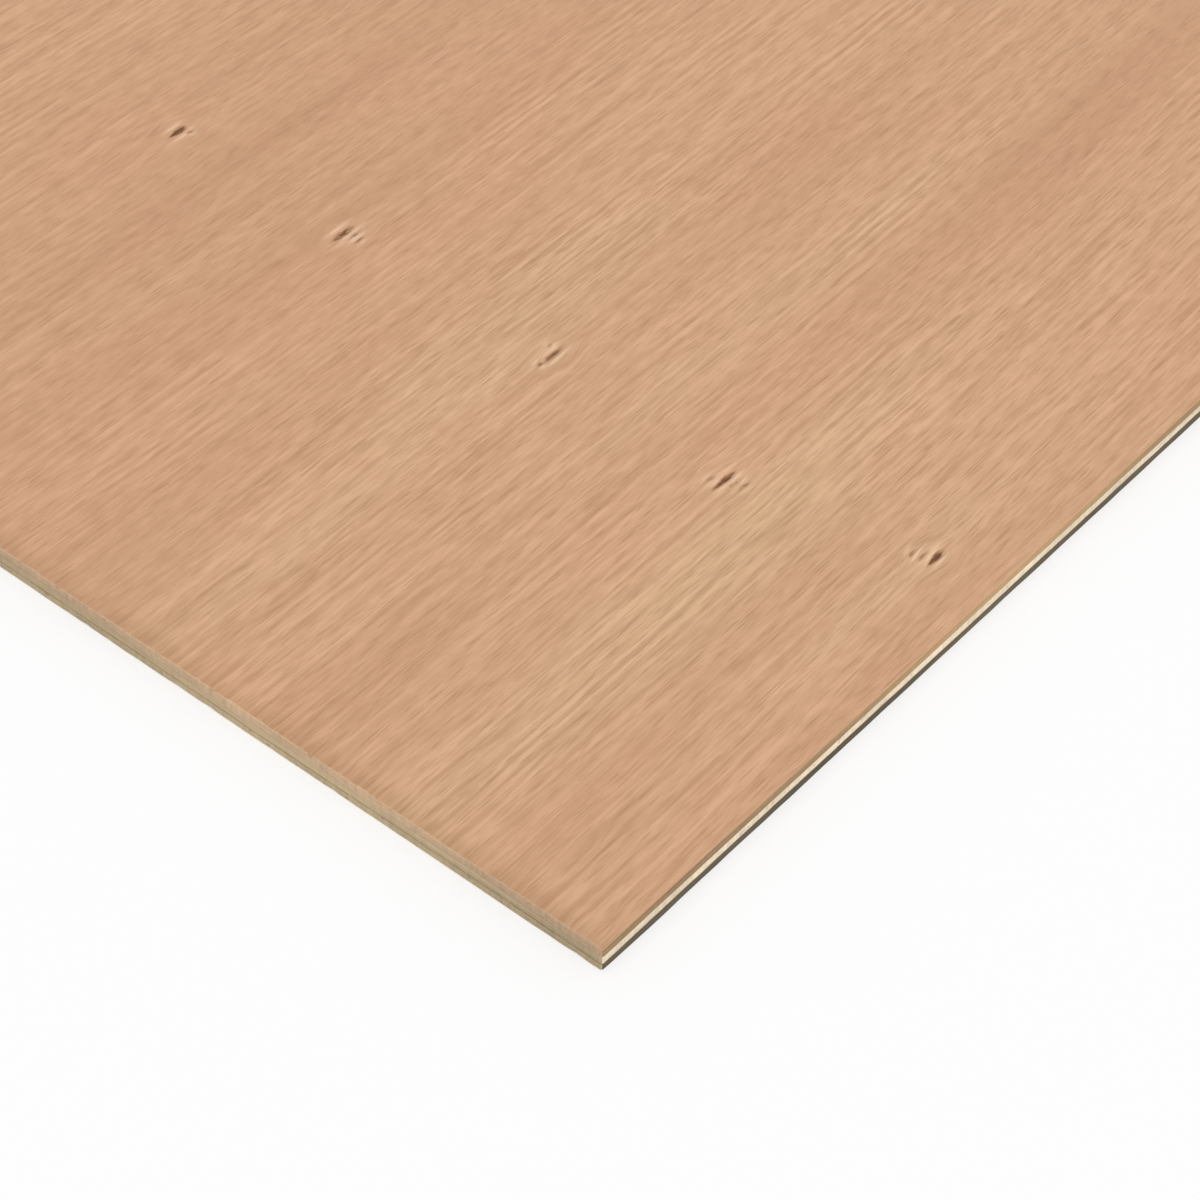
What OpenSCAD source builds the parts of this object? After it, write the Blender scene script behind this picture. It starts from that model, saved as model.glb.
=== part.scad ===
// Thin plywood sheet: three rotary-cut veneers glued face to face with their grain crossed.
// The grain of the face and back veneers runs along the length (X), that of the core ply across it (Y).
// The sheet lies flat on its back, and the origin is at the middle of its back face.

/* [Sheet] */
// Length of the sheet, along the grain of its face
sheet_length = 2440; // [600:10:3660]
// Width of the sheet, across the grain of its face
sheet_width = 1220; // [300:10:1830]

/* [Veneers] */
// Thickness of the face veneer
face_thickness = 1.7; // [0.6:0.1:4]
// Thickness of the core ply
core_thickness = 1.8; // [0.6:0.1:6]
// Thickness of the back veneer
back_thickness = 1.7; // [0.6:0.1:4]

/* [Edges] */
// Width of the bevel that sanding leaves round the face
face_arris = 0.2; // [0.05:0.05:0.5]
// Width of the bevel that sanding leaves round the back
back_arris = 0.2; // [0.05:0.05:0.5]

/* [Hidden] */
// Height of each glue line above the floor
back_glue_line = back_thickness;
face_glue_line = back_glue_line + core_thickness;

face_colour = [0.81, 0.64, 0.51];
core_colour = [0.87, 0.80, 0.70];
back_colour = [0.60, 0.49, 0.39];

// Section of an outer veneer: square at the glue line, bevelled at both outer arrises
module veneer_section(span, thickness, arris) {
    half = span / 2;
    polygon([
        [-half, 0],
        [half, 0],
        [half, thickness - arris],
        [half - arris, thickness],
        [arris - half, thickness],
        [-half, thickness - arris],
    ]);
}

// Outer veneer standing on its glue line, where its long and its short section meet
module outer_veneer(thickness, arris) {
    intersection() {
        rotate([90, 0, 0])
            linear_extrude(height = sheet_width, center = true)
                veneer_section(sheet_length, thickness, arris);
        rotate([90, 0, 90])
            linear_extrude(height = sheet_length, center = true)
                veneer_section(sheet_width, thickness, arris);
    }
}

module face_veneer() {
    color(face_colour)
        translate([0, 0, face_glue_line])
            outer_veneer(face_thickness, face_arris);
}

module core_ply() {
    color(core_colour)
        translate([-sheet_length / 2, -sheet_width / 2, back_glue_line])
            cube([sheet_length, sheet_width, core_thickness]);
}

module back_veneer() {
    color(back_colour)
        translate([0, 0, back_glue_line])
            mirror([0, 0, 1])
                outer_veneer(back_thickness, back_arris);
}

face_veneer();
core_ply();
back_veneer();
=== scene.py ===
"""Looks of a thin three-ply plywood sheet that lies flat on a pale floor.

Each ply is rebuilt with sawn edges, worn arrises, wavy glue lines and pin knots, in the place of its
plain solid, and takes wood materials that are made of nodes. Lengths are in metres unless a name ends
in _MM or _PX, or a comment says millimetres. X runs along the face grain, Y across it and Z up.
"""

import math
from dataclasses import dataclass

import bpy
import numpy as np
from mathutils import Matrix, Vector


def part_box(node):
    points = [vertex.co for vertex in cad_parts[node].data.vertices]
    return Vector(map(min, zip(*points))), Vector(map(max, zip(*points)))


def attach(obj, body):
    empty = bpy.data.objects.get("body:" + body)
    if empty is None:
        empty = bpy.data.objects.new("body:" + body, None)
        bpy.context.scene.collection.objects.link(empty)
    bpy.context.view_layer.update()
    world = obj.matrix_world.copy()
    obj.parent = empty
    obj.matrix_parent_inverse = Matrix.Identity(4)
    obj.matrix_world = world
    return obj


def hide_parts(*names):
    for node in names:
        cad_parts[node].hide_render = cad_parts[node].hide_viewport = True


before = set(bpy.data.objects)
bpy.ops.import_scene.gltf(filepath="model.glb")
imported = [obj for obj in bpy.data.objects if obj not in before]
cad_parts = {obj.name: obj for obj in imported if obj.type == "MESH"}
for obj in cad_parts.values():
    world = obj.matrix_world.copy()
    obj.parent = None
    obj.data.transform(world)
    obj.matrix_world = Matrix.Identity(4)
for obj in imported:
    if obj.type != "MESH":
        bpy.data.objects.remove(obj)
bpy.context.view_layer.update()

MM = 0.001
MM_IN_METRE = 1000.0

# Sheet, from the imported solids
FACE_LOW, FACE_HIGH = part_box("face_veneer")
CORE_LOW, CORE_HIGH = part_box("core_ply")
BACK_LOW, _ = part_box("back_veneer")
LENGTH = FACE_HIGH.x - FACE_LOW.x
WIDTH = FACE_HIGH.y - FACE_LOW.y
SHEET_TOP = FACE_HIGH.z

# Camera, fitted to the corner and the two edges in the photo
PHOTO_SIDE_PX = 1200
FOCAL_PX = 3100
SENSOR_MM = 36.0
VIEW_YAW = math.radians(49.58)
VIEW_PITCH = math.radians(44.83)
CORNER_PX = (602.4, 951.5)
CORNER_DISTANCE = 0.4807
CLIP_START = 0.01
CLIP_END = 200.0

# Pin knots that the photo shows. Half length and half width are in millimetres, skew is the slope across
# the grain, and head is 1 where the end at high X is the thicker one. Each faint line beside a knot has
# its place across and along the grain and its half length, in millimetres.
PHOTO_KNOTS = (
    dict(pixel=(178, 131), long_mm=2.1, wide_mm=0.98, skew=0.08, head=0.8, dark=0.86,
         lines_mm=((-2.2, 1.4, 1.2),)),
    dict(pixel=(343, 233), long_mm=3.1, wide_mm=1.0, skew=0.05, head=0.2, dark=0.58,
         lines_mm=((-2.2, 1.0, 2.4), (-4.0, 0.4, 1.6))),
    dict(pixel=(553, 354), long_mm=2.8, wide_mm=0.82, skew=0.06, head=-0.3, dark=0.54,
         lines_mm=((0.2, -4.0, 0.9), (2.0, 1.4, 0.8))),
    dict(pixel=(724, 480), long_mm=2.9, wide_mm=0.68, skew=0.0, head=0.5, dark=0.78,
         lines_mm=((-2.0, 0.4, 2.7), (-3.8, 0.8, 2.1), (2.0, -1.4, 1.6))),
    dict(pixel=(936, 557), long_mm=2.2, wide_mm=0.74, skew=0.05, head=0.8, dark=0.75,
         lines_mm=((2.0, -1.2, 2.1), (3.8, -2.0, 1.6))),
)

# Pin knots of the rest of the sheet: rows across the grain, as a peeled log leaves them, and a scatter
KNOT_ROWS_X = (0.105, 0.94, 1.72)
KNOT_ROW_SPACING = 0.072
KNOT_ROW_DRIFT = 0.012
KNOT_ROW_GAPS = 0.35
SCATTERED_KNOTS = 10
KNOT_CLEARANCE = 0.066
KNOT_EDGE_CLEARANCE = 0.03
PHOTO_CORNER_REACH = 0.36

# Ranges from which those knots and the faint lines beside them are drawn
KNOT_LONG_MM = (2.0, 3.2)
KNOT_WIDE_MM = (0.5, 0.75)
KNOT_SKEW = (-0.1, 0.1)
KNOT_HEAD = (-0.9, 0.9)
KNOT_DARK = (0.7, 1.0)
LINES_AT_MOST = 2
LINE_DRIFT_MM = (-1.5, 1.5)
LINE_LONG_MM = (1.4, 3.0)

# Outline: spacing of the columns round the edge, and the blunting of the four corners
COLUMN_STEP = 1.25 * MM
CORNER_RADIUS = 0.5 * MM
ARC_STEPS = 4

# Relief of the sawn edges. A layer of noise has a pitch and a weight. Torn places are strewn along the edge
# with a spacing, and each has a width and a depth from a range.
BLADE_WANDER = 0.03 * MM
BLADE_WANDER_PITCH = 40 * MM
END_GRAIN_ROUGHNESS = 0.07 * MM
LONG_GRAIN_ROUGHNESS = 0.03 * MM
SAWN_LAYERS = ((1.8 * MM, 0.6), (6 * MM, 0.4))
CORE_SETBACK = 0.06 * MM
GLUE_WAVE = 0.07 * MM
GLUE_WAVE_LAYERS = ((22 * MM, 0.7), (6 * MM, 0.3))
GLUE_BAND = 0.12 * MM
ARRIS = 0.2 * MM
ARRIS_PITCH = 4 * MM
ARRIS_UNEVENNESS = 0.35
CORNER_WEAR = 0.12 * MM
CORNER_WEAR_REACH = 1.5 * MM
END_GRAIN_CHIPS = dict(spacing=16 * MM, widths=(0.6 * MM, 1.8 * MM), depths=(0.08 * MM, 0.32 * MM))
LONG_GRAIN_SLIVERS = dict(spacing=60 * MM, widths=(3 * MM, 12 * MM), depths=(0.04 * MM, 0.18 * MM))
CORE_TEARS = dict(spacing=30 * MM, widths=(0.8 * MM, 2.5 * MM), depths=(0.1 * MM, 0.4 * MM))
TEAR_AT_GLUE = 0.4

# Rows of the edges: heights of those in between, as shares, and how deep the middle of a rounded arris lies
OUTER_ROW_SHARES = (0.4, 0.7)
CORE_ROW_SHARES = (0.35, 0.65)
ARRIS_MIDDLE = 1 - math.sqrt(0.5)

# Caps: a coarse grid inside a rim that is stitched to the fine outline, with finer patches for the knots
RIM = 4.0 * MM
SHOWN_CELL = (20.0 * MM, 10.0 * MM)
HIDDEN_CELL = (80.0 * MM, 60.0 * MM)
PATCH_HALF = (9.0 * MM, 6.0 * MM)
PHOTO_PATCH_STEPS = (44, 40)
PATCH_STEPS = (24, 20)
PATCH_POWER = (1.2, 1.3)
PATCH_FADE = 5.0
SHARP_ANGLE = math.radians(20)

# A knot's slit, tail and pale lips, in shares of its half length and half width, and the bend of the grain
KNOT_DEPTH = 0.3 * MM
HEAD_SWELL = 0.45
SLIT_POWER = 1.4
TAIL_LONG = 2.0
TAIL_WIDE = 0.5
TAIL_DARK = 0.3
TAIL_DEPTH = 0.12
LIP_LONG = 1.3
LIP_WIDE = 0.5
LIP_PLACE = 1.75
LIP_HALO = 1.2
KNOT_GRAIN_SHIFT = 1.0 * MM
KNOT_GRAIN_REACH = 1.5

# Faint lines beside a knot
LINE_HALF = 0.5 * MM
LINE_DARK = 0.55
LINE_HALO = 0.95
LINE_HALO_SHIFT = 0.95 * MM
LINE_PITCH = 1.9 * MM


# Camera

def view_axes():
    """Right, up and forward of the camera, as unit vectors."""
    level = math.cos(VIEW_PITCH)
    forward = Vector((math.sin(VIEW_YAW) * level, math.cos(VIEW_YAW) * level, -math.sin(VIEW_PITCH)))
    right = Vector((math.cos(VIEW_YAW), -math.sin(VIEW_YAW), 0.0))
    return right, right.cross(forward), forward


def pixel_ray(pixel):
    """Unit direction in which the camera sees a pixel of the photo."""
    right, up, forward = view_axes()
    middle = PHOTO_SIDE_PX / 2
    return (forward * FOCAL_PX + right * (pixel[0] - middle) - up * (pixel[1] - middle)).normalized()


def camera_place():
    corner = Vector((FACE_LOW.x, FACE_LOW.y, SHEET_TOP))
    return corner - pixel_ray(CORNER_PX) * CORNER_DISTANCE


def on_face(pixel):
    """X and Y of the point on the sheet's face that a pixel shows."""
    ray = pixel_ray(pixel)
    eye = camera_place()
    spot = eye + ray * ((SHEET_TOP - eye.z) / ray.z)
    return spot.x, spot.y


def make_camera():
    data = bpy.data.cameras.new("camera")
    data.sensor_width = SENSOR_MM
    data.lens = SENSOR_MM * FOCAL_PX / PHOTO_SIDE_PX
    data.clip_start = CLIP_START
    data.clip_end = CLIP_END
    camera = bpy.data.objects.new("camera", data)
    right, up, forward = view_axes()
    turn = Matrix((right, up, -forward)).transposed().to_4x4()
    camera.matrix_world = Matrix.Translation(camera_place()) @ turn
    bpy.context.scene.collection.objects.link(camera)
    bpy.context.scene.camera = camera


# Outline of the sheet

class Outline:
    """Columns round the sheet, anticlockwise seen from above, from the corner at low X and low Y."""

    def __init__(self):
        points, inward, sides, starts = [], [], [], []
        ways = [np.array(way, float) for way in ((1, 0), (0, 1), (-1, 0), (0, -1))]
        corner = np.array((FACE_LOW.x, FACE_LOW.y))
        eighth_turn = math.pi / 4
        for side, way in enumerate(ways):
            left = ways[(side + 1) % 4]
            length = LENGTH if side % 2 == 0 else WIDTH
            first = corner + CORNER_RADIUS * (way + left)
            last = corner + (length - CORNER_RADIUS) * way + CORNER_RADIUS * left
            starts.append(len(points))
            half_arc = ARC_STEPS // 2
            for step in range(half_arc):
                angle = eighth_turn * (1 - step / half_arc)
                out = -math.cos(angle) * left - math.sin(angle) * way
                points.append(first + CORNER_RADIUS * out)
                inward.append(-out)
            count = round((length - 2 * CORNER_RADIUS) / COLUMN_STEP)
            for share in np.linspace(0, 1, count + 1):
                points.append(first + (last - first) * share - CORNER_RADIUS * left)
                inward.append(left)
            for step in range(1, half_arc):
                angle = eighth_turn * step / half_arc
                out = -math.cos(angle) * left + math.sin(angle) * way
                points.append(last + CORNER_RADIUS * out)
                inward.append(-out)
            sides += [side] * (len(points) - starts[-1])
            corner = corner + length * way
        self.point = np.array(points)
        self.inward = np.array(inward)
        self.side = np.array(sides)
        self.start = starts
        self.count = len(points)
        steps = np.linalg.norm(np.roll(self.point, -1, axis=0) - self.point, axis=1)
        self.run = np.concatenate(([0.0], np.cumsum(steps)[:-1]))
        self.round = float(steps.sum())
        self.on_long_side = self.side % 2 == 0

    def side_columns(self, side):
        """Columns of one side, from its first corner to the next corner, both counted."""
        end = self.start[side + 1] if side < 3 else self.count
        return list(range(self.start[side], end)) + [end % self.count]

    def corner_nearness(self, reach):
        """1 at the corners, falling to 0 a few reaches away."""
        ends = np.append(self.run[self.start], self.round)
        gap = np.abs(self.run[:, None] - ends[None, :]).min(axis=1)
        return np.exp(-((gap / reach) ** 2))


def edge_noise(outline, pitch, rng):
    """Smooth seeded noise from -1 to 1 along the outline, closed on itself."""
    knots = rng.uniform(-1, 1, max(4, round(outline.round / pitch)))
    place = outline.run / outline.round * len(knots)
    index = np.floor(place).astype(int)
    share = place - index
    share = share * share * (3 - 2 * share)
    return knots[index % len(knots)] * (1 - share) + knots[(index + 1) % len(knots)] * share


def layered_noise(outline, layers, rng):
    """Layers of edge noise, each with its pitch and weight, added up."""
    return sum(weight * edge_noise(outline, pitch, rng) for pitch, weight in layers)


def edge_chips(outline, where, rng, spacing, widths, depths):
    """Depth of small torn places along the edge, where a mask of columns allows them."""
    depth = np.zeros(outline.count)
    for centre in rng.uniform(0, outline.round, round(outline.round / spacing)):
        width = rng.uniform(*widths)
        deep = rng.uniform(*depths)
        gap = np.abs(outline.run - centre)
        near = np.flatnonzero(gap < 3 * width)
        depth[near] = np.maximum(depth[near], deep * np.exp(-((gap[near] / width) ** 2)))
    return depth * where


# Mesh of one ply

class PlyMesh:
    """Vertices, faces, material numbers, bake map and vertex values of one ply, as they are collected."""

    def __init__(self):
        self.places = []
        self.faces = []
        self.looks = []
        self.smooth = []
        self.map = []
        self.values = {"glue": [], "worn": [], "knot": [], "halo": [], "bend": []}

    def add_places(self, places, **values):
        first = len(self.places)
        self.places += [tuple(place) for place in places]
        for name, held in self.values.items():
            held += list(values.get(name, np.zeros(len(places))))
        return np.arange(first, len(self.places))

    def add_face(self, corners, look, smooth, spots):
        self.faces.append([int(corner) for corner in corners])
        self.looks.append(look)
        self.smooth.append(smooth)
        self.map += spots

    def build(self, name, materials):
        mesh = bpy.data.meshes.new(name)
        mesh.from_pydata(self.places, [], self.faces)
        for material in materials:
            mesh.materials.append(material)
        mesh.polygons.foreach_set("material_index", self.looks)
        mesh.polygons.foreach_set("use_smooth", self.smooth)
        mesh.set_sharp_from_angle(angle=SHARP_ANGLE)
        layer = mesh.uv_layers.new(name="OFBake")
        layer.data.foreach_set("uv", np.array(self.map, np.float32).ravel())
        for value, held in self.values.items():
            attribute = mesh.attributes.new(value, "FLOAT", "POINT")
            attribute.data.foreach_set("value", np.array(held, np.float32))
        mesh.update()
        piece = bpy.data.objects.new(name, mesh)
        bpy.context.scene.collection.objects.link(piece)
        return piece


def sheet_share(place):
    """How far along the length and the width of the sheet a place lies, from 0 to 1."""
    return (place[0] - FACE_LOW.x) / LENGTH, (place[1] - FACE_LOW.y) / WIDTH


def in_box(share, box):
    return (box[0] + (box[2] - box[0]) * share[0], box[1] + (box[3] - box[1]) * share[1])


def add_sides(ply, outline, rows, strips, looks):
    """Joins rows of columns into the four sides. Returns the vertex numbers of each row."""
    numbers = []
    for row in rows:
        flat = outline.point + outline.inward * row["inset"][:, None]
        places = np.column_stack((flat, row["height"]))
        numbers.append(ply.add_places(places, glue=row["glue"], worn=row["worn"]))
    for side in range(4):
        columns = outline.side_columns(side)
        along = np.linspace(0, 1, len(columns))
        look = looks[side % 2]
        for low in range(len(rows) - 1):
            v_low, v_high = low / (len(rows) - 1), (low + 1) / (len(rows) - 1)
            for step in range(len(columns) - 1):
                here, there = columns[step], columns[step + 1]
                lower, upper = numbers[low], numbers[low + 1]
                corners = (lower[here], lower[there], upper[there], upper[here])
                u_here, u_there = along[step], along[step + 1]
                shares = ((u_here, v_low), (u_there, v_low), (u_there, v_high), (u_here, v_high))
                ply.add_face(corners, look, True, [in_box(share, strips[side]) for share in shares])
    return numbers


def stitch(outer, inner, outer_shares, inner_shares):
    """Triangles between two chains that run side by side, anticlockwise with the inner chain on the left."""
    triangles = []
    i = j = 0
    while i < len(outer) - 1 or j < len(inner) - 1:
        next_outer = outer_shares[i + 1] if i < len(outer) - 1 else math.inf
        next_inner = inner_shares[j + 1] if j < len(inner) - 1 else math.inf
        if next_outer <= next_inner:
            triangles.append((outer[i], outer[i + 1], inner[j]))
            i += 1
        else:
            triangles.append((outer[i], inner[j + 1], inner[j]))
            j += 1
    return triangles


def rectangle_sides(grid):
    """The four sides of a grid of vertex numbers, anticlockwise from low X and low Y."""
    return [grid[:, 0], grid[-1, :], grid[::-1, -1], grid[0, ::-1]]


def chain_shares(ply, chain, side):
    """How far along its side each vertex of a chain lies, from 0 to 1."""
    axis = side % 2
    held = np.array([ply.places[number][axis] for number in chain])
    return (held - held[0]) / (held[-1] - held[0])


def grid_faces(grid):
    """The cells of a grid of vertex numbers."""
    cells = []
    for i in range(grid.shape[0] - 1):
        for j in range(grid.shape[1] - 1):
            cells.append((grid[i, j], grid[i + 1, j], grid[i + 1, j + 1], grid[i, j + 1]))
    return cells


def add_cap(ply, outline, ring, height, look, box, upward, cell, knots=()):
    """Closes a ply with a flat cap: a grid of cells, knot patches in it, and a stitched rim."""
    xs = np.linspace(FACE_LOW.x + RIM, FACE_HIGH.x - RIM, round((LENGTH - 2 * RIM) / cell[0]) + 1)
    ys = np.linspace(FACE_LOW.y + RIM, FACE_HIGH.y - RIM, round((WIDTH - 2 * RIM) / cell[1]) + 1)
    places = [(x, y, height) for x in xs for y in ys]
    grid = ply.add_places(places).reshape(len(xs), len(ys))
    taken = np.zeros((len(xs) - 1, len(ys) - 1), bool)
    dented, flat = [], []
    for knot in knots:
        patch, seam = add_knot(ply, knot, xs, ys, grid, taken, height, upward)
        dented += patch
        flat += seam
    flat += [face for face, hidden in zip(grid_faces(grid), taken.ravel()) if not hidden]
    for side, inner in enumerate(rectangle_sides(grid)):
        outer = [ring[column] for column in outline.side_columns(side)]
        flat += stitch(outer, inner, chain_shares(ply, outer, side), chain_shares(ply, inner, side))
    for faces, smooth in ((dented, True), (flat, False)):
        for corners in faces:
            ordered = corners if upward else corners[::-1]
            spots = [in_box(sheet_share(ply.places[corner]), box) for corner in ordered]
            ply.add_face(ordered, look, smooth, spots)


# Pin knots

@dataclass
class Knot:
    """A pin knot: a dark slit along the grain, with pale lips and faint dark lines beside it."""

    place: tuple
    long: float
    wide: float
    skew: float
    head: float
    dark: float
    lines: list
    steps: tuple

    def shape(self, u, v):
        """Height, darkness, halo and grain shift at places u along and v across the grain from its middle."""
        across = v - self.skew * u
        reach = np.clip(u / self.long, -1, 1)
        wide = self.wide * (1 + HEAD_SWELL * self.head * reach)
        slit = np.exp(-(((u / self.long) ** 2 + (across / wide) ** 2) ** SLIT_POWER))
        trail = (u + self.head * self.long) / (TAIL_LONG * self.long)
        tail = np.exp(-(trail ** 2) - (across / (TAIL_WIDE * self.wide)) ** 2)
        from_lip = (np.abs(across) - LIP_PLACE * self.wide) / (LIP_WIDE * self.wide)
        lip = np.exp(-((u / (LIP_LONG * self.long)) ** 2) - from_lip ** 2)
        dark = self.dark * (slit + TAIL_DARK * tail)
        halo = LIP_HALO * lip
        for line_v, line_u, line_long in self.lines:
            beside = np.exp(-(((u - line_u) / line_long) ** 2))
            dark += LINE_DARK * beside * np.exp(-(((across - line_v) / LINE_HALF) ** 2))
            for shift in (-LINE_HALO_SHIFT, LINE_HALO_SHIFT):
                halo += LINE_HALO * beside * np.exp(-(((across - line_v - shift) / LINE_HALF) ** 2))
        fade = np.clip(1 - np.abs(u) / PATCH_HALF[0], 0, 1) * np.clip(1 - np.abs(v) / PATCH_HALF[1], 0, 1)
        fade = np.clip(PATCH_FADE * fade, 0, 1)
        height = -KNOT_DEPTH * (slit + TAIL_DEPTH * tail)
        push = KNOT_GRAIN_SHIFT * np.exp(-((u / (KNOT_GRAIN_REACH * self.long)) ** 2))
        bend = -push * v / (np.abs(v) + self.wide)
        return height * fade, np.clip(dark, 0, 1) * fade, np.clip(halo, 0, 1) * fade, bend * fade


def photo_knots():
    """The pin knots that the photo shows, where its pixels put them on the face."""
    found = []
    for seen in PHOTO_KNOTS:
        lines = [tuple(length * MM for length in line) for line in seen["lines_mm"]]
        found.append(Knot(on_face(seen["pixel"]), seen["long_mm"] * MM, seen["wide_mm"] * MM,
                          seen["skew"], seen["head"], seen["dark"], lines, PHOTO_PATCH_STEPS))
    return found


def random_knot(place, rng):
    """A seeded pin knot of the kind that the photo shows."""
    side = rng.choice((-1.0, 1.0))
    lines = []
    for order in range(1, 1 + rng.integers(1, LINES_AT_MOST + 1)):
        along = rng.uniform(*LINE_DRIFT_MM) * MM
        lines.append((side * order * LINE_PITCH, along, rng.uniform(*LINE_LONG_MM) * MM))
    long = rng.uniform(*KNOT_LONG_MM) * MM
    wide = rng.uniform(*KNOT_WIDE_MM) * MM
    skew = rng.uniform(*KNOT_SKEW)
    head = rng.uniform(*KNOT_HEAD)
    return Knot(place, long, wide, skew, head, rng.uniform(*KNOT_DARK), lines, PATCH_STEPS)


def spread_steps(steps, half, power):
    """Places from -half to half, closer together in the middle."""
    even = np.linspace(-1, 1, steps + 1)
    return np.sign(even) * np.abs(even) ** power * half


def add_knot(ply, knot, xs, ys, grid, taken, height, upward):
    """A finely divided patch round a knot, and the seam that joins it to the cells round it."""
    x, y = knot.place
    first_x, last_x = np.searchsorted(xs, (x - PATCH_HALF[0], x + PATCH_HALF[0])) - (1, 0)
    first_y, last_y = np.searchsorted(ys, (y - PATCH_HALF[1], y + PATCH_HALF[1])) - (1, 0)
    taken[first_x:last_x, first_y:last_y] = True
    us = spread_steps(knot.steps[0], PATCH_HALF[0], PATCH_POWER[0])
    vs = spread_steps(knot.steps[1], PATCH_HALF[1], PATCH_POWER[1])
    u, v = np.meshgrid(us, vs, indexing="ij")
    rise, dark, halo, bend = knot.shape(u, v)
    level = height + (rise if upward else -rise)
    places = np.column_stack((x + u.ravel(), y + v.ravel(), level.ravel()))
    patch = ply.add_places(places, knot=dark.ravel(), halo=halo.ravel(), bend=bend.ravel())
    patch = patch.reshape(u.shape)
    seam = []
    hole = grid[first_x:last_x + 1, first_y:last_y + 1]
    for side, (outer, inner) in enumerate(zip(rectangle_sides(hole), rectangle_sides(patch))):
        seam += stitch(outer, inner, chain_shares(ply, outer, side), chain_shares(ply, inner, side))
    return grid_faces(patch), seam


def clear_of(place, others, corner_reach):
    """Whether a knot's place is clear of the edges, of other knots and of the corner whose knots are listed.
    """
    x, y = place
    inside_x = FACE_LOW.x + KNOT_EDGE_CLEARANCE < x < FACE_HIGH.x - KNOT_EDGE_CLEARANCE
    inside_y = FACE_LOW.y + KNOT_EDGE_CLEARANCE < y < FACE_HIGH.y - KNOT_EDGE_CLEARANCE
    off_corner = math.hypot(x - FACE_LOW.x, y - FACE_LOW.y) > corner_reach
    off_knots = all(math.dist(place, other) > KNOT_CLEARANCE for other in others)
    return inside_x and inside_y and off_corner and off_knots


def seeded_places(rng, taken, corner_reach):
    """Places for the other knots: rows across the grain with gaps, and a scatter between them."""
    found = []
    for row_x in KNOT_ROWS_X:
        for y in np.arange(FACE_LOW.y + KNOT_ROW_SPACING / 2, FACE_HIGH.y, KNOT_ROW_SPACING):
            place = (FACE_LOW.x + row_x + rng.normal(0, KNOT_ROW_DRIFT), y + rng.normal(0, KNOT_ROW_DRIFT))
            if rng.uniform() > KNOT_ROW_GAPS and clear_of(place, found + taken, corner_reach):
                found.append(place)
    in_rows = len(found)
    while len(found) < in_rows + SCATTERED_KNOTS:
        place = (rng.uniform(FACE_LOW.x, FACE_HIGH.x), rng.uniform(FACE_LOW.y, FACE_HIGH.y))
        if clear_of(place, found + taken, corner_reach):
            found.append(place)
    return found


# Nodes of a material

SEED_STEPS = (7.31, 3.17, 5.73)
UNBOUNDED_MM = 10000.0


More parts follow.
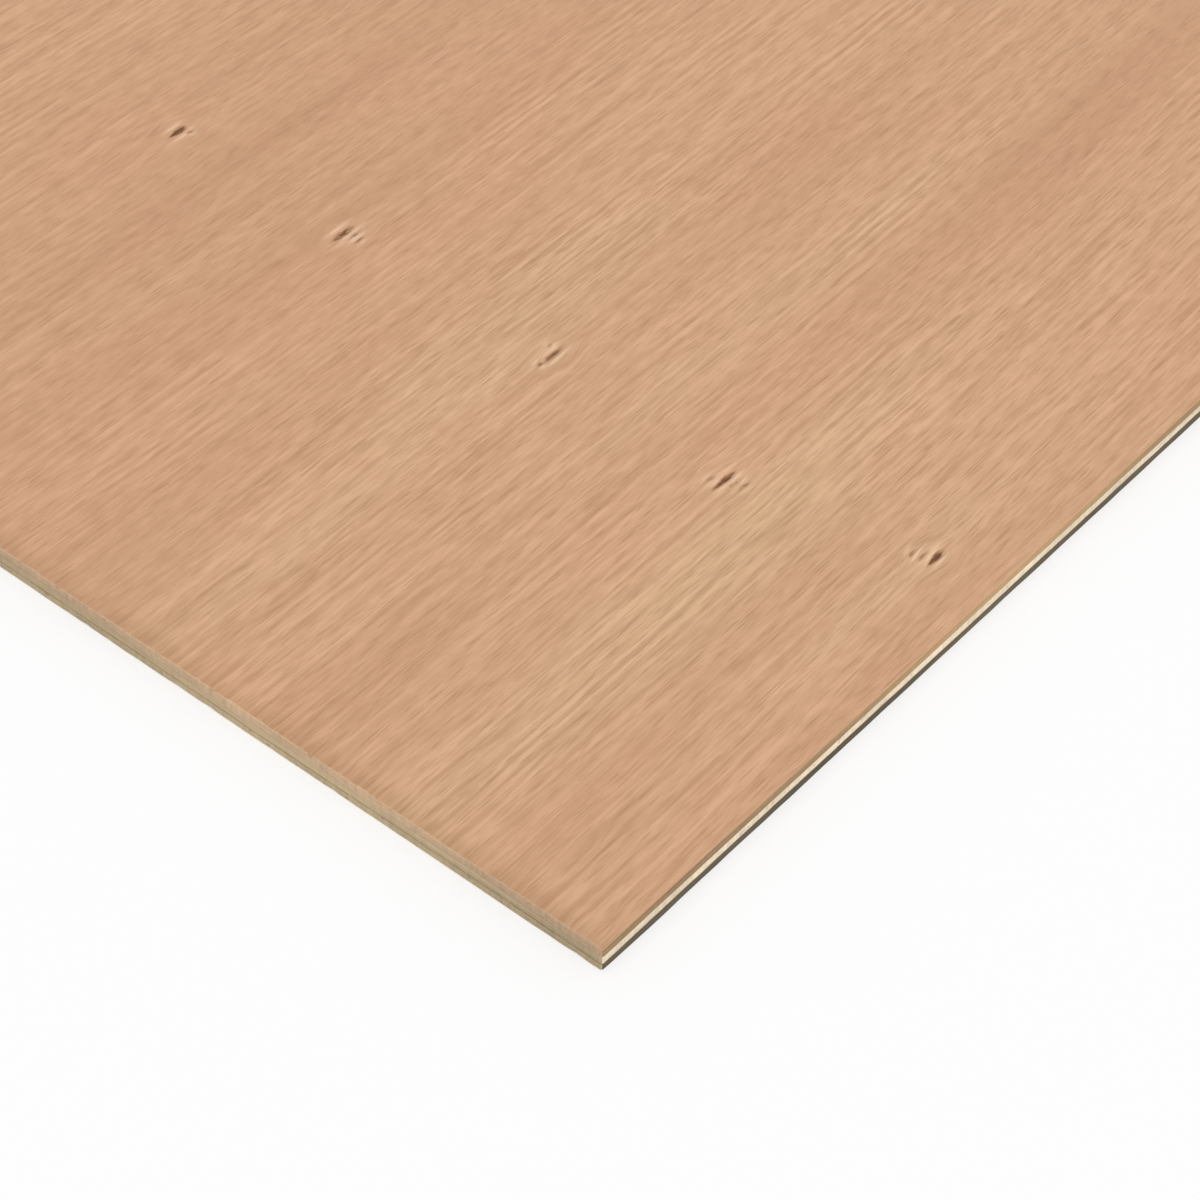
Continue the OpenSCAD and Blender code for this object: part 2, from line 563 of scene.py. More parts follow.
class Tree:
    """Short calls for the nodes of one material. Each call gives an output socket."""

    def __init__(self, name):
        self.material = bpy.data.materials.new(name)
        self.material.use_nodes = True
        self.nodes = self.material.node_tree.nodes
        self.links = self.material.node_tree.links
        self.shader = self.nodes["Principled BSDF"]

    def put(self, socket, value):
        """Links an output to a socket, or sets a constant on it."""
        if isinstance(value, bpy.types.NodeSocket):
            self.links.new(value, socket)
        elif socket.type == "RGBA":
            socket.default_value = (*value, 1.0)
        else:
            socket.default_value = value

    def math(self, operation, a, b=0.0):
        node = self.nodes.new("ShaderNodeMath")
        node.operation = operation
        self.put(node.inputs[0], a)
        self.put(node.inputs[1], b)
        return node.outputs[0]

    def vector(self, operation, a, b):
        node = self.nodes.new("ShaderNodeVectorMath")
        node.operation = operation
        self.put(node.inputs[0], a)
        self.put(node.inputs[1], b)
        return node.outputs["Vector"]

    def place_mm(self):
        """Where the surface is, in millimetres."""
        node = self.nodes.new("ShaderNodeTexCoord")
        return self.vector("MULTIPLY", node.outputs["Object"], (MM_IN_METRE, MM_IN_METRE, MM_IN_METRE))

    def moved_across(self, place, distance):
        """A place moved across the grain."""
        node = self.nodes.new("ShaderNodeCombineXYZ")
        self.put(node.inputs["Y"], distance)
        return self.vector("ADD", place, node.outputs[0])

    def value(self, name):
        """A value that the mesh holds at its vertices."""
        node = self.nodes.new("ShaderNodeAttribute")
        node.attribute_name = name
        return node.outputs["Fac"]

    def noise(self, place, size, seed, detail=2.0):
        """Noise from 0 to 1 whose blobs have about the given size, in millimetres along X, Y and Z."""
        node = self.nodes.new("ShaderNodeTexNoise")
        scaled = self.vector("DIVIDE", place, size)
        shifted = self.vector("ADD", scaled, tuple(seed * step for step in SEED_STEPS))
        self.put(node.inputs["Vector"], shifted)
        self.put(node.inputs["Scale"], 1.0)
        self.put(node.inputs["Detail"], detail)
        return node.outputs["Fac"]

    def remap(self, value, low, high, to_low=0.0, to_high=1.0):
        node = self.nodes.new("ShaderNodeMapRange")
        node.interpolation_type = "SMOOTHSTEP"
        for name, given in (("Value", value), ("From Min", low), ("From Max", high),
                            ("To Min", to_low), ("To Max", to_high)):
            self.put(node.inputs[name], given)
        return node.outputs["Result"]

    def streaks(self, grain, length, width, seed, detail=2.0):
        """Noise drawn out along X."""
        return self.noise(grain, (length, width, width), seed, detail)

    def split(self, place):
        """How far along and across the grain a place lies."""
        node = self.nodes.new("ShaderNodeSeparateXYZ")
        self.put(node.inputs[0], place)
        return node.outputs["X"], node.outputs["Y"]

    def spot(self, place, middle, half):
        """1 at the middle of a long spot on the face, falling to 0 all round it."""
        away = self.vector("DIVIDE", self.vector("SUBTRACT", place, (*middle, 0.0)), (*half, UNBOUNDED_MM))
        node = self.nodes.new("ShaderNodeVectorMath")
        node.operation = "DOT_PRODUCT"
        self.put(node.inputs[0], away)
        self.put(node.inputs[1], away)
        return self.math("POWER", math.exp(-1), node.outputs["Value"])

    def corner_spot(self, place, along, across, half_length, half_width, weight):
        """A spot of the given weight, placed from the sheet's corner at low X and low Y."""
        middle = (FACE_LOW.x / MM + along, FACE_LOW.y / MM + across)
        return self.math("MULTIPLY", self.spot(place, middle, (half_length, half_width)), weight)

    def clamp(self, value):
        return self.math("MAXIMUM", self.math("MINIMUM", value, 1.0), 0.0)

    def swing(self, value, amount):
        """Noise from 0 to 1 as a swing about zero, of the given weight."""
        return self.math("MULTIPLY", self.math("SUBTRACT", value, 0.5), amount)

    def figure(self, grain, streaks, seed, detail=2.0):
        """Streaks of a given length, width and weight, as a swing about zero."""
        length, width, weight = streaks
        return self.swing(self.streaks(grain, length, width, seed, detail), weight)

    def total(self, start, parts):
        for part in parts:
            start = self.math("ADD", start, part)
        return start

    def mix(self, share, a, b, blend="MIX"):
        node = self.nodes.new("ShaderNodeMix")
        node.data_type = "RGBA"
        node.blend_type = blend
        self.put(node.inputs["Factor"], share)
        self.put(node.inputs["A"], a)
        self.put(node.inputs["B"], b)
        return node.outputs["Result"]

    def tinted(self, colour, tint):
        return self.mix(1.0, colour, tint, blend="MULTIPLY")

    def grey(self, value):
        node = self.nodes.new("ShaderNodeCombineColor")
        for socket in node.inputs:
            self.put(socket, value)
        return node.outputs["Color"]

    def bump(self, height, distance):
        node = self.nodes.new("ShaderNodeBump")
        self.put(node.inputs["Height"], height)
        self.put(node.inputs["Distance"], distance)
        self.put(node.inputs["Strength"], 1.0)
        return node.outputs["Normal"]

    def finish(self, colour, roughness, normal, shine):
        self.put(self.shader.inputs["Base Color"], colour)
        self.put(self.shader.inputs["Roughness"], roughness)
        self.put(self.shader.inputs["Normal"], normal)
        self.put(self.shader.inputs["Specular IOR Level"], shine)
        return self.material


# Woods

@dataclass
class Wood:
    """Colours of one ply's wood. The deep tone of a veneer is given where its face shows."""

    pale: tuple
    pore: tuple
    end_grain: tuple
    long_grain: tuple
    deep: tuple = None


FACE_WOOD = Wood(
    pale=(0.694, 0.412, 0.249),
    deep=(0.530, 0.295, 0.164),
    pore=(0.36, 0.190, 0.095),
    end_grain=(0.53, 0.365, 0.230),
    long_grain=(0.285, 0.178, 0.090),
)
CORE_WOOD = Wood(
    pale=(0.76, 0.64, 0.49),
    pore=(0.40, 0.29, 0.19),
    end_grain=(0.70, 0.59, 0.435),
    long_grain=(0.50, 0.375, 0.230),
)
# The back ply's sawn edges are darker than the face ply's: its long grain much darker and its end grain a
# little darker, partly the wood's own tone and partly painted shade where the edge meets the floor beneath
# the sheet.
BACK_WOOD_AND_EDGE_SHADE = Wood(
    pale=(0.56, 0.36, 0.235),
    deep=(0.38, 0.23, 0.145),
    pore=(0.24, 0.135, 0.080),
    end_grain=(0.46, 0.36, 0.220),
    long_grain=(0.105, 0.084, 0.052),
)
KNOT_COLOUR = (0.140, 0.054, 0.015)
KNOT_RIM_COLOUR = (0.25, 0.115, 0.048)
HALO_COLOUR = (0.86, 0.60, 0.40)
GLUE_COLOUR = (0.16, 0.10, 0.06)

# Tints that multiply a veneer's colour
BROAD_DEEP = (0.914, 0.880, 0.860)
BROAD_PALE = (1.048, 1.128, 1.113)
PINK_TINT = (1.009, 0.994, 0.997)
GREEN_TINT = (0.991, 1.005, 1.001)
GRIME_TINT = (0.870, 0.865, 0.830)
WHITE = (1.0, 1.0, 1.0)

# Figure of a sanded veneer. Streaks have a length and a width in millimetres, and a weight where there is a
# third number. A range holds the noise at which a mark starts and the noise at which it is full.
GRAIN_WAVE_MM = (700.0, 240.0, 240.0)
GRAIN_WAVE_SWING_MM = 11.0
BROAD_FIGURE = ((1500.0, 170.0, 1.15), (420.0, 45.0, 1.05), (170.0, 13.0, 1.1))
BROAD_TINT_WEIGHT = 2.0
FINE_FIGURE = ((100.0, 2.6, 0.85), (6.0, 0.3, 0.8), (5.0, 1.9, 0.98))
FIBRES = (14.0, 0.85)
FIBRE_WEIGHT = 1.7
LIVELY = 0.9
LIVELY_WITH_BROAD = 1.3
LIVELY_STREAKS = (90.0, 18.0, 1.0)
PALE_STREAKS = (50.0, 1.4)
DARK_STREAKS = (38.0, 1.1)
STREAK_RANGE = (0.60, 0.76)
STREAK_WEIGHT = 0.36
MOTTLE_MM = (60.0, 26.0, 26.0)
MOTTLE_RANGE = (0.3, 0.7)
PORES = (6.5, 0.32)
PORE_CROWDS = (160.0, 9.0, 0.18)
PORE_RANGE = (0.58, 0.72)
PORE_WEIGHT = 0.4
HAIRS = (8.0, 0.22, 0.5)
VENEER_BUMP = 0.03 * MM
VENEER_ROUGHNESS = 0.58
VENEER_ROUGHNESS_SWING = 0.3
VENEER_SHINE = 0.3

# Patches of fine even lines along the grain: pitch, weight, sway as streaks, and size and range of a patch
HATCH_PITCH_MM = 2.1
HATCH_WEIGHT = 0.3
HATCH_SWAY = (70.0, 9.0, 9.0)
HATCH_PATCH = (48.0, 11.0)
HATCH_RANGE = (0.52, 0.68)

# Torn pale fibres round the knots, and the knots' frayed edges
TORN_STREAKS = (6.0, 0.5)
TORN_RANGE = (0.35, 0.65)
TORN_SHARES = (0.4, 1.15)
HALO_WEIGHT = 0.72
FRAY_STREAKS = (1.6, 0.5, 1.9)
KNOT_RIM_RANGE = (0.1, 0.75)
KNOT_RANGE = (0.6, 1.0)

# Darkening that handling leaves on the face along the short edges: where it starts and where it is full
GRIME_REACH_MM = 5.0
GRIME_FULL_MM = 0.4
GRIME_NOISE_MM = (8.0, 9.0, 9.0)
GRIME_SWING = 1.6

# Sawn edges: sizes of their noise along X, Y and Z, or along the grain, across it and up for long grain
SAW_LINE_MM = (0.9, 0.9, 5.0)
GLUE_STAIN = 0.45
END_BAND_MM = (14.0, 14.0, 3.0)
END_BAND_SWING = 0.5
END_SAW_SWING = 0.45
END_WORN = 0.15
END_BUMP = 0.06 * MM
END_ROUGHNESS = 0.8
END_SHINE = 0.2
GRIT_MM = (0.3, 0.3, 0.3)
GRIT_SWING = 0.5
GRIT_HEIGHT = 0.8
PIT_MM = (1.6, 1.6, 0.5)
PIT_RANGE = (0.66, 0.76)
PIT_WEIGHT = 0.6
LONG_BAND_MM = (45.0, 3.0, 0.7)
LONG_FIBRE_MM = (9.0, 1.0, 0.22)
LONG_GRAIN_SWING = 0.7
LONG_SAW_SWING = 0.25
LONG_SAW_HEIGHT = 0.6
LONG_WORN = 0.5
LONG_BUMP = 0.05 * MM
LONG_ROUGHNESS = 0.75
LONG_SHINE = 0.25

# Pale and dark ribbons of the photographed corner: place along and across the grain from the corner, half
# length and half width in millimetres, and weight. The seeded broad figure is calmer near them, and the
# grain sways away from the long edge. Calm and sway are given as the ribbons are.
PHOTO_RIBBONS = (
    (90.0, 8.0, 70.0, 5.0, 0.15),
    (5.0, 18.0, 45.0, 4.5, -0.20),
    (88.0, 36.0, 80.0, 12.0, 0.48),
    (225.0, 49.0, 60.0, 8.5, -0.58),
    (10.0, 63.0, 35.0, 6.0, -0.27),
    (115.0, 66.0, 50.0, 6.0, 0.22),
    (180.0, 64.0, 28.0, 3.5, 0.24),
    (100.0, 103.0, 72.0, 9.5, 0.27),
    (190.0, 84.0, 38.0, 14.0, -0.20),
    (12.0, 117.0, 40.0, 9.0, -0.36),
    (110.0, 151.0, 95.0, 7.0, -0.28),
    (100.0, 180.0, 90.0, 10.0, -0.25),
    (110.0, 195.0, 240.0, 45.0, -0.18),
)
PHOTO_CALM = (110.0, 110.0, 620.0, 380.0, 0.83)
PHOTO_SWAY = (340.0, 110.0, 260.0, 250.0, 22.0)
FIBRE_SWAY_SHARE = 0.4

# Darker and paler lengths of the photographed edges, given as the ribbons are
SHORT_EDGE_TONES = ((0.0, 8.0, 12.0, 16.0, -0.13), (0.0, 68.0, 12.0, 34.0, 0.14))
FACE_EDGE_TONES = ((24.0, 0.0, 14.0, 12.0, -0.1), (108.0, 0.0, 42.0, 12.0, 0.62))
CORE_EDGE_TONES = ((85.0, 0.0, 40.0, 12.0, 0.08),)
BACK_EDGE_TONES = (
    (10.0, 0.0, 14.0, 12.0, -0.08),
    (64.0, 0.0, 16.0, 12.0, -0.2),
    (104.0, 0.0, 18.0, 12.0, 0.12),
)


def veneer_grain(t, place, seed, ribbons):
    """Places moved across the grain, for ribbons and for fibres: by the grain's wave, sway and knots."""
    wave = t.swing(t.noise(place, GRAIN_WAVE_MM, seed + 1, detail=0.0), GRAIN_WAVE_SWING_MM)
    sway = t.corner_spot(place, *PHOTO_SWAY) if ribbons else 0.0
    bend = t.math("MULTIPLY", t.value("bend"), MM_IN_METRE)
    fibre_sway = t.math("MULTIPLY", sway, FIBRE_SWAY_SHARE)
    ribbon_grain = t.moved_across(place, t.math("SUBTRACT", wave, sway))
    fibre_grain = t.moved_across(place, t.math("SUBTRACT", t.math("ADD", wave, bend), fibre_sway))
    return ribbon_grain, fibre_grain


def broad_figure(t, grain, seed, ribbons):
    """Broad pale and deep figure about 0.5, with the ribbons of the photographed corner if they are given."""
    broad = 0.5
    for number, streaks in enumerate(BROAD_FIGURE):
        broad = t.math("ADD", broad, t.figure(grain, streaks, seed + 2 + number))
    if not ribbons:
        return broad
    quiet = t.math("SUBTRACT", 1.0, t.corner_spot(grain, *PHOTO_CALM))
    broad = t.math("ADD", 0.5, t.math("MULTIPLY", t.math("SUBTRACT", broad, 0.5), quiet))
    return t.total(broad, [t.corner_spot(grain, *ribbon) for ribbon in ribbons])


def hatching(t, grain, seed):
    """Even fine lines along the grain, in scattered patches."""
    _, across = t.split(grain)
    steady = t.math("MULTIPLY", across, 2 * math.pi / HATCH_PITCH_MM)
    turn = t.math("ADD", steady, t.figure(grain, HATCH_SWAY, seed))
    patch = t.remap(t.streaks(grain, *HATCH_PATCH, seed + 1), *HATCH_RANGE)
    return t.math("MULTIPLY", t.math("MULTIPLY", t.math("SINE", turn), patch), HATCH_WEIGHT)


def fine_figure(t, grain, fibre, broad, seed):
    """Fibres, streaks and fine lines about 0.5, livelier in some places than in others."""
    lively = t.total(LIVELY, [t.swing(broad, LIVELY_WITH_BROAD), t.figure(grain, LIVELY_STREAKS, seed + 5)])
    fine = t.math("ADD", 0.5, t.math("MULTIPLY", t.swing(fibre, FIBRE_WEIGHT), lively))
    for number, streaks in enumerate(FINE_FIGURE):
        fine = t.math("ADD", fine, t.figure(grain, streaks, seed + 7 + number))
    pale = t.remap(t.streaks(grain, *PALE_STREAKS, seed + 10, detail=1.0), *STREAK_RANGE)
    dark = t.remap(t.streaks(grain, *DARK_STREAKS, seed + 11, detail=1.0), *STREAK_RANGE)
    lines = t.math("MULTIPLY", t.math("SUBTRACT", pale, dark), STREAK_WEIGHT)
    lines = t.math("ADD", lines, hatching(t, grain, seed + 16))
    return t.math("ADD", fine, t.math("MULTIPLY", lines, lively))


def short_edge_grime(t, place, seed):
    """Share of the darkening along the short edges, with a ragged inner edge."""
    along, _ = t.split(place)
    half = LENGTH / 2 / MM
    near = t.remap(t.math("ABSOLUTE", along), half - GRIME_REACH_MM, half - GRIME_FULL_MM)
    ragged = t.math("ADD", 1.0, t.swing(t.noise(place, GRIME_NOISE_MM, seed), GRIME_SWING))
    return t.clamp(t.math("MULTIPLY", near, ragged))


def with_knots(t, colour, place, grain, seed):
    """A veneer's colour with its pin knots and the pale torn fibres round them."""
    torn = t.remap(t.streaks(grain, *TORN_STREAKS, seed + 18), *TORN_RANGE, *TORN_SHARES)
    halo = t.clamp(t.math("MULTIPLY", t.value("halo"), torn))
    colour = t.mix(t.math("MULTIPLY", halo, HALO_WEIGHT), colour, HALO_COLOUR)
    fray = t.math("ADD", 1.0, t.figure(place, FRAY_STREAKS, seed + 19))
    knot = t.math("MULTIPLY", t.value("knot"), fray)
    colour = t.mix(t.remap(knot, *KNOT_RIM_RANGE), colour, KNOT_RIM_COLOUR)
    return t.mix(t.remap(knot, *KNOT_RANGE), colour, KNOT_COLOUR)


def veneer_material(name, wood, seed, ribbons=()):
    """Sanded rotary-cut veneer: ribbons, streaks and fibres along X, pores, mottling and pin knots."""
    t = Tree(name)
    place = t.place_mm()
    ribbon_grain, grain = veneer_grain(t, place, seed, ribbons)
    broad = broad_figure(t, ribbon_grain, seed, ribbons)
    fibre = t.streaks(grain, *FIBRES, seed + 6)

    colour = t.mix(t.clamp(fine_figure(t, grain, fibre, broad, seed)), wood.deep, wood.pale)
    for weight, tint in ((-BROAD_TINT_WEIGHT, BROAD_DEEP), (BROAD_TINT_WEIGHT, BROAD_PALE)):
        share = t.clamp(t.swing(broad, weight))
        colour = t.tinted(colour, t.mix(share, WHITE, tint))
    mottle = t.remap(t.noise(place, MOTTLE_MM, seed + 12), *MOTTLE_RANGE)
    colour = t.tinted(colour, t.mix(mottle, PINK_TINT, GREEN_TINT))
    colour = t.tinted(colour, t.mix(short_edge_grime(t, place, seed + 20), WHITE, GRIME_TINT))

    dash = t.streaks(grain, *PORES, seed + 14, detail=1.0)
    pore = t.remap(t.math("ADD", dash, t.figure(grain, PORE_CROWDS, seed + 13)), *PORE_RANGE)
    colour = t.mix(t.math("MULTIPLY", pore, PORE_WEIGHT), colour, wood.pore)
    colour = with_knots(t, colour, place, grain, seed)

    height = t.math("SUBTRACT", t.figure(grain, HAIRS, seed + 15, detail=1.0), pore)
    roughness = t.math("ADD", VENEER_ROUGHNESS, t.swing(fibre, VENEER_ROUGHNESS_SWING))
    return t.finish(colour, roughness, t.bump(height, VENEER_BUMP), VENEER_SHINE)


def edge_tone(t, place, parts, tones):
    """Swings of tone on a sawn edge, about 1, with the tones of the photographed edges."""
    return t.total(1.0, parts + [t.corner_spot(place, *tone) for tone in tones])


def worn_and_glued(t, colour, wood, worn_share):
    """The colour of a sawn edge with its worn arris and its stained glue line."""
    colour = t.mix(t.math("MULTIPLY", t.value("worn"), worn_share), colour, wood.pale)
    return t.mix(t.math("MULTIPLY", t.value("glue"), GLUE_STAIN), colour, GLUE_COLOUR)


def end_grain_material(name, wood, seed, tones):
    """Sawn end grain: pale torn fibres with saw lines across the edge, and small dark pits."""
    t = Tree(name)
    place = t.place_mm()
    band = t.noise(place, END_BAND_MM, seed + 1, detail=3.0)
    saw = t.noise(place, SAW_LINE_MM, seed + 2)
    grit = t.noise(place, GRIT_MM, seed + 3)
    pit = t.remap(t.noise(place, PIT_MM, seed + 4, detail=1.0), *PIT_RANGE)
    swings = [t.swing(band, END_BAND_SWING), t.swing(saw, END_SAW_SWING), t.swing(grit, GRIT_SWING)]
    colour = t.tinted(wood.end_grain, t.grey(edge_tone(t, place, swings, tones)))
    colour = t.mix(t.math("MULTIPLY", pit, PIT_WEIGHT), colour, wood.pore)
    colour = worn_and_glued(t, colour, wood, END_WORN)
    height = t.total(0.0, [t.swing(saw, 1.0), t.swing(grit, GRIT_HEIGHT), t.math("MULTIPLY", pit, -1.0)])
    return t.finish(colour, END_ROUGHNESS, t.bump(height, END_BUMP), END_SHINE)


def laid_along(axis, size):
    """A size along the grain, across it and up, as a size along X, Y and Z."""
    along, across, up = size
    return (along, across, up) if axis == "X" else (across, along, up)


def long_grain_material(name, wood, axis, seed, tones):
    """Sawn long grain: streaks along the edge, with faint saw lines across it."""
    t = Tree(name)
    place = t.place_mm()
    band = t.noise(place, laid_along(axis, LONG_BAND_MM), seed + 1, detail=3.0)
    fibre = t.noise(place, laid_along(axis, LONG_FIBRE_MM), seed + 2)
    saw = t.noise(place, SAW_LINE_MM, seed + 3, detail=1.0)
    swings = [t.swing(band, LONG_GRAIN_SWING), t.swing(fibre, LONG_GRAIN_SWING), t.swing(saw, LONG_SAW_SWING)]
    colour = t.tinted(wood.long_grain, t.grey(edge_tone(t, place, swings, tones)))
    colour = worn_and_glued(t, colour, wood, LONG_WORN)
    height = t.total(0.0, [t.swing(fibre, 1.0), t.swing(saw, LONG_SAW_HEIGHT)])
    return t.finish(colour, LONG_ROUGHNESS, t.bump(height, LONG_BUMP), LONG_SHINE)


# Plies

def row(height, inset, glue=0.0, worn=0.0):
    """One row of columns round the edge: its heights, how far in it lies, and its glue and wear."""
    count = len(inset)
    return {
        "height": np.broadcast_to(height, count),
        "inset": inset,
        "glue": np.full(count, glue),
        "worn": np.full(count, worn),
    }


class Edge:
    """What the three plies share round the sheet: the blade's wander and the two wavy glue lines."""

    def __init__(self, outline, rng):
        self.outline = outline
        self.wander = BLADE_WANDER * (1 + edge_noise(outline, BLADE_WANDER_PITCH, rng))
        self.face_glue = CORE_HIGH.z + GLUE_WAVE * layered_noise(outline, GLUE_WAVE_LAYERS, rng)
        self.back_glue = CORE_LOW.z + GLUE_WAVE * layered_noise(outline, GLUE_WAVE_LAYERS, rng)
        self.wear = outline.corner_nearness(CORNER_WEAR_REACH)

    def sawn(self, grain_along_x, rng):
        """Inset of one row of the sawn edge, rougher where the blade cut across the grain."""
        long_grain = self.outline.on_long_side if grain_along_x else ~self.outline.on_long_side
        rough = np.where(long_grain, LONG_GRAIN_ROUGHNESS, END_GRAIN_ROUGHNESS)
        return self.wander + rough * (0.5 + 0.5 * layered_noise(self.outline, SAWN_LAYERS, rng))

    def arris(self, rng):
        """Width of an outer ply's eased arris, with chips on end grain and long slivers on long grain."""
        long_grain = self.outline.on_long_side
        even = ARRIS * (1 + ARRIS_UNEVENNESS * edge_noise(self.outline, ARRIS_PITCH, rng))
        chips = edge_chips(self.outline, ~long_grain, rng, **END_GRAIN_CHIPS)
        slivers = edge_chips(self.outline, long_grain, rng, **LONG_GRAIN_SLIVERS)
        return even + chips + slivers + CORNER_WEAR * self.wear


def outer_rows(edge, glue, outside, rng):
    """Rows of an outer ply, from its glue line out to its eased arris."""
    arris = edge.arris(rng)
    way = 1.0 if outside > glue.mean() else -1.0
    shoulder = outside - way * arris
    rows = [row(glue, edge.sawn(True, rng), glue=1.0)]
    rows.append(row(glue + way * GLUE_BAND, edge.sawn(True, rng)))
    for share in OUTER_ROW_SHARES:
        rows.append(row(glue + (shoulder - glue) * share, edge.sawn(True, rng)))
    last = edge.sawn(True, rng)
    rows.append(row(shoulder, last))
    rows.append(row(outside - way * ARRIS_MIDDLE * arris, last + ARRIS_MIDDLE * arris, worn=1.0))
    rows.append(row(outside, last + arris, worn=1.0))
    return rows


def core_rows(edge, rng):
    """Rows of the core, which the blade tore back a little further than the outer plies."""
    low, high = edge.back_glue, edge.face_glue
    torn = edge_chips(edge.outline, edge.outline.on_long_side, rng, **CORE_TEARS)
    between = [(low + (high - low) * share, 1.0) for share in CORE_ROW_SHARES]
    beside_low = (low + GLUE_BAND, TEAR_AT_GLUE)
    beside_high = (high - GLUE_BAND, TEAR_AT_GLUE)
    rows = [row(low, CORE_SETBACK + edge.sawn(False, rng), glue=1.0)]
    for height, share in (beside_low, *between, beside_high):
        rows.append(row(height, CORE_SETBACK + edge.sawn(False, rng) + share * torn))
    rows.append(row(high, CORE_SETBACK + edge.sawn(False, rng), glue=1.0))
    return rows


# Boxes of the bake map, as low U, low V, high U and high V: a strip for each side, and the two caps
MAP_LOW = 0.002
MAP_HIGH = 0.998


def map_box(low, high):
    return (MAP_LOW, low, MAP_HIGH, high)


def map_strips(low, high, pitch):
    """Boxes of the four sides, one above another."""
    return [map_box(low + pitch * side, high + pitch * side) for side in range(4)]


OUTER_STRIPS = map_strips(0.004, 0.02, 0.02)
OUTER_HIDDEN = map_box(0.088, 0.096)
OUTER_SHOWN = map_box(0.104, MAP_HIGH)
CORE_STRIPS = map_strips(0.1, 0.3, 0.22)
CORE_TOP = map_box(0.01, 0.04)
CORE_BOTTOM = map_box(0.05, 0.08)

# Numbers of the materials on a piece, and seeds of the shapes and the materials
VENEER_LOOK, OUTER_LONG_LOOK, OUTER_END_LOOK = range(3)
CORE_END_LOOK, CORE_LONG_LOOK = range(2)
EDGE_SEED = 5
KNOT_SEED = 7
FACE_SEEDS = dict(rows=11, veneer=1, long_grain=21, end_grain=31)
CORE_SEEDS = dict(rows=12, end_grain=41, long_grain=51)
BACK_SEEDS = dict(rows=13, veneer=61, long_grain=71, end_grain=81)


def finish_piece(piece, node):
    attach(piece, "root")
    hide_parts(node)


def outer_looks(name, wood, seeds, long_edge_tones, ribbons=()):
    """Materials of an outer veneer, in the order of their numbers."""
    return [
        veneer_material(name + "_veneer", wood, seeds["veneer"], ribbons),
        long_grain_material(name + "_long_grain", wood, "X", seeds["long_grain"], long_edge_tones),
        end_grain_material(name + "_end_grain", wood, seeds["end_grain"], SHORT_EDGE_TONES),
    ]


def make_face(edge, knots):
    ply = PlyMesh()
    rows = outer_rows(edge, edge.face_glue, SHEET_TOP, np.random.default_rng(FACE_SEEDS["rows"]))
    numbers = add_sides(ply, edge.outline, rows, OUTER_STRIPS, (OUTER_LONG_LOOK, OUTER_END_LOOK))
    add_cap(ply, edge.outline, numbers[-1], SHEET_TOP, VENEER_LOOK, OUTER_SHOWN, True, SHOWN_CELL, knots)
    add_cap(ply, edge.outline, numbers[0], CORE_HIGH.z, OUTER_LONG_LOOK, OUTER_HIDDEN, False, HIDDEN_CELL)
    looks = outer_looks("face", FACE_WOOD, FACE_SEEDS, FACE_EDGE_TONES, PHOTO_RIBBONS)
    finish_piece(ply.build("face_veneer_wood", looks), "face_veneer")


def make_core(edge):
    ply = PlyMesh()
    rows = core_rows(edge, np.random.default_rng(CORE_SEEDS["rows"]))
    numbers = add_sides(ply, edge.outline, rows, CORE_STRIPS, (CORE_END_LOOK, CORE_LONG_LOOK))
    add_cap(ply, edge.outline, numbers[-1], CORE_HIGH.z, CORE_LONG_LOOK, CORE_TOP, True, HIDDEN_CELL)
    add_cap(ply, edge.outline, numbers[0], CORE_LOW.z, CORE_LONG_LOOK, CORE_BOTTOM, False, HIDDEN_CELL)
    looks = [
        end_grain_material("core_end_grain", CORE_WOOD, CORE_SEEDS["end_grain"], CORE_EDGE_TONES),
        long_grain_material("core_long_grain", CORE_WOOD, "Y", CORE_SEEDS["long_grain"], SHORT_EDGE_TONES),
    ]
    finish_piece(ply.build("core_ply_wood", looks), "core_ply")


def make_back(edge, knots):
    ply = PlyMesh()
    rows = outer_rows(edge, edge.back_glue, BACK_LOW.z, np.random.default_rng(BACK_SEEDS["rows"]))[::-1]
    numbers = add_sides(ply, edge.outline, rows, OUTER_STRIPS, (OUTER_LONG_LOOK, OUTER_END_LOOK))
    add_cap(ply, edge.outline, numbers[-1], CORE_LOW.z, OUTER_LONG_LOOK, OUTER_HIDDEN, True, HIDDEN_CELL)
    add_cap(ply, edge.outline, numbers[0], BACK_LOW.z, VENEER_LOOK, OUTER_SHOWN, False, SHOWN_CELL, knots)
    looks = outer_looks("back", BACK_WOOD_AND_EDGE_SHADE, BACK_SEEDS, BACK_EDGE_TONES)
    finish_piece(ply.build("back_veneer_wood", looks), "back_veneer")


# Stage

FLOOR_SIDE = 80.0
FLOOR_DROP = 0.05 * MM
FLOOR_COLOUR = (0.97, 0.97, 0.97)
FLOOR_WHITE_SHARE = 0.5
AMBIENT = 0.62
SUN_STRENGTH = 1.65
SUN_ANGLE = math.radians(25)
SUN_FROM = Vector((-0.25, -0.8, 0.9))


def seen_rays(nodes, links):
    """1 for the rays on which the background is white: straight from the camera, mirrored or let through."""
    path = nodes.new("ShaderNodeLightPath")
    seen = path.outputs["Is Camera Ray"]
    for name in ("Is Glossy Ray", "Is Transmission Ray"):
        either = nodes.new("ShaderNodeMath")
        either.operation = "MAXIMUM"
        links.new(seen, either.inputs[0])
        links.new(path.outputs[name], either.inputs[1])
        seen = either.outputs[0]
    return seen


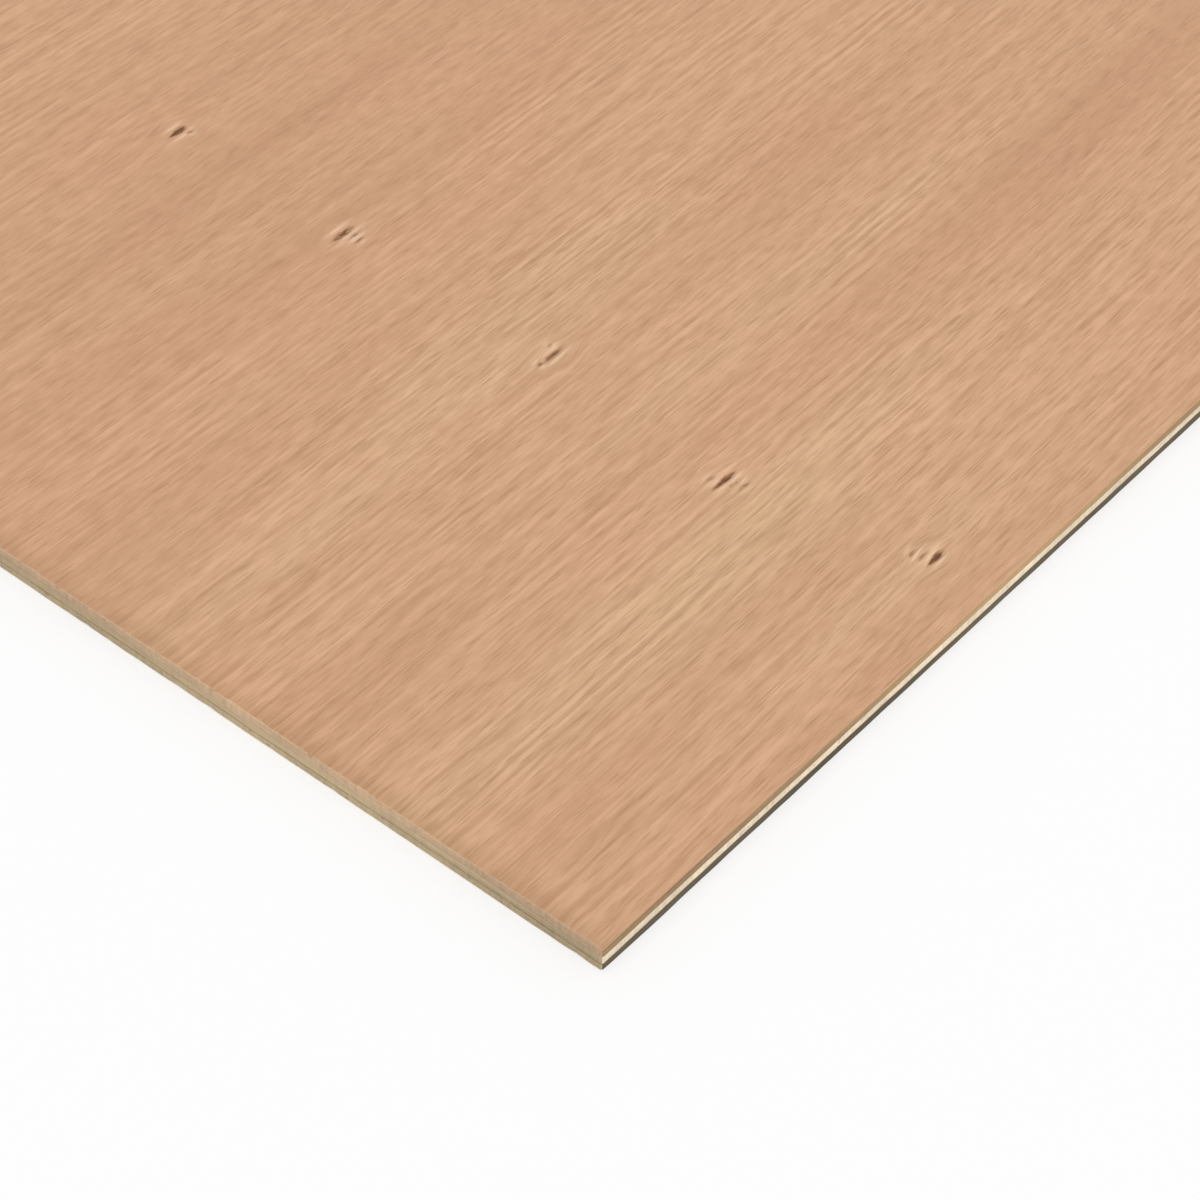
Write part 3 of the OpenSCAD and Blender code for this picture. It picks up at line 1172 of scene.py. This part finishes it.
def make_floor():
    """A pale floor that keeps a soft shadow, whitened for the rays that show it."""
    side = FLOOR_SIDE / 2
    mesh = bpy.data.meshes.new("floor")
    corners = [(-side, -side, 0), (side, -side, 0), (side, side, 0), (-side, side, 0)]
    mesh.from_pydata(corners, [], [(0, 1, 2, 3)])
    floor = bpy.data.objects.new("floor", mesh)
    floor.location.z = BACK_LOW.z - FLOOR_DROP
    bpy.context.scene.collection.objects.link(floor)
    tree = Tree("floor")
    tree.put(tree.shader.inputs["Base Color"], FLOOR_COLOUR)
    tree.put(tree.shader.inputs["Roughness"], 1.0)
    tree.put(tree.shader.inputs["Specular IOR Level"], 0.0)
    white = tree.nodes.new("ShaderNodeEmission")
    mix = tree.nodes.new("ShaderNodeMixShader")
    seen = seen_rays(tree.nodes, tree.links)
    tree.put(mix.inputs["Fac"], tree.math("MULTIPLY", seen, FLOOR_WHITE_SHARE))
    tree.links.new(tree.shader.outputs[0], mix.inputs[1])
    tree.links.new(white.outputs[0], mix.inputs[2])
    tree.links.new(mix.outputs[0], tree.nodes["Material Output"].inputs["Surface"])
    mesh.materials.append(tree.material)


def make_light():
    world = bpy.data.worlds.new("world")
    world.use_nodes = True
    bpy.context.scene.world = world
    nodes, links = world.node_tree.nodes, world.node_tree.links
    ambient = nodes["Background"]
    ambient.inputs["Strength"].default_value = AMBIENT
    ambient.inputs["Color"].default_value = (*WHITE, 1.0)
    white = nodes.new("ShaderNodeBackground")
    white.inputs["Color"].default_value = (*WHITE, 1.0)
    mix = nodes.new("ShaderNodeMixShader")
    links.new(seen_rays(nodes, links), mix.inputs["Fac"])
    links.new(ambient.outputs[0], mix.inputs[1])
    links.new(white.outputs[0], mix.inputs[2])
    links.new(mix.outputs[0], nodes["World Output"].inputs["Surface"])
    data = bpy.data.lights.new("sun", "SUN")
    data.energy = SUN_STRENGTH
    data.angle = SUN_ANGLE
    sun = bpy.data.objects.new("sun", data)
    sun.rotation_euler = SUN_FROM.to_track_quat("Z", "Y").to_euler()
    bpy.context.scene.collection.objects.link(sun)


def main():
    bpy.context.scene.view_settings.view_transform = "Standard"
    make_camera()
    make_light()
    make_floor()
    outline = Outline()
    edge = Edge(outline, np.random.default_rng(EDGE_SEED))
    rng = np.random.default_rng(KNOT_SEED)
    knots = photo_knots()
    for place in seeded_places(rng, [knot.place for knot in knots], PHOTO_CORNER_REACH):
        knots.append(random_knot(place, rng))
    make_face(edge, knots)
    make_core(edge)
    make_back(edge, [random_knot(place, rng) for place in seeded_places(rng, [], 0.0)])


main()
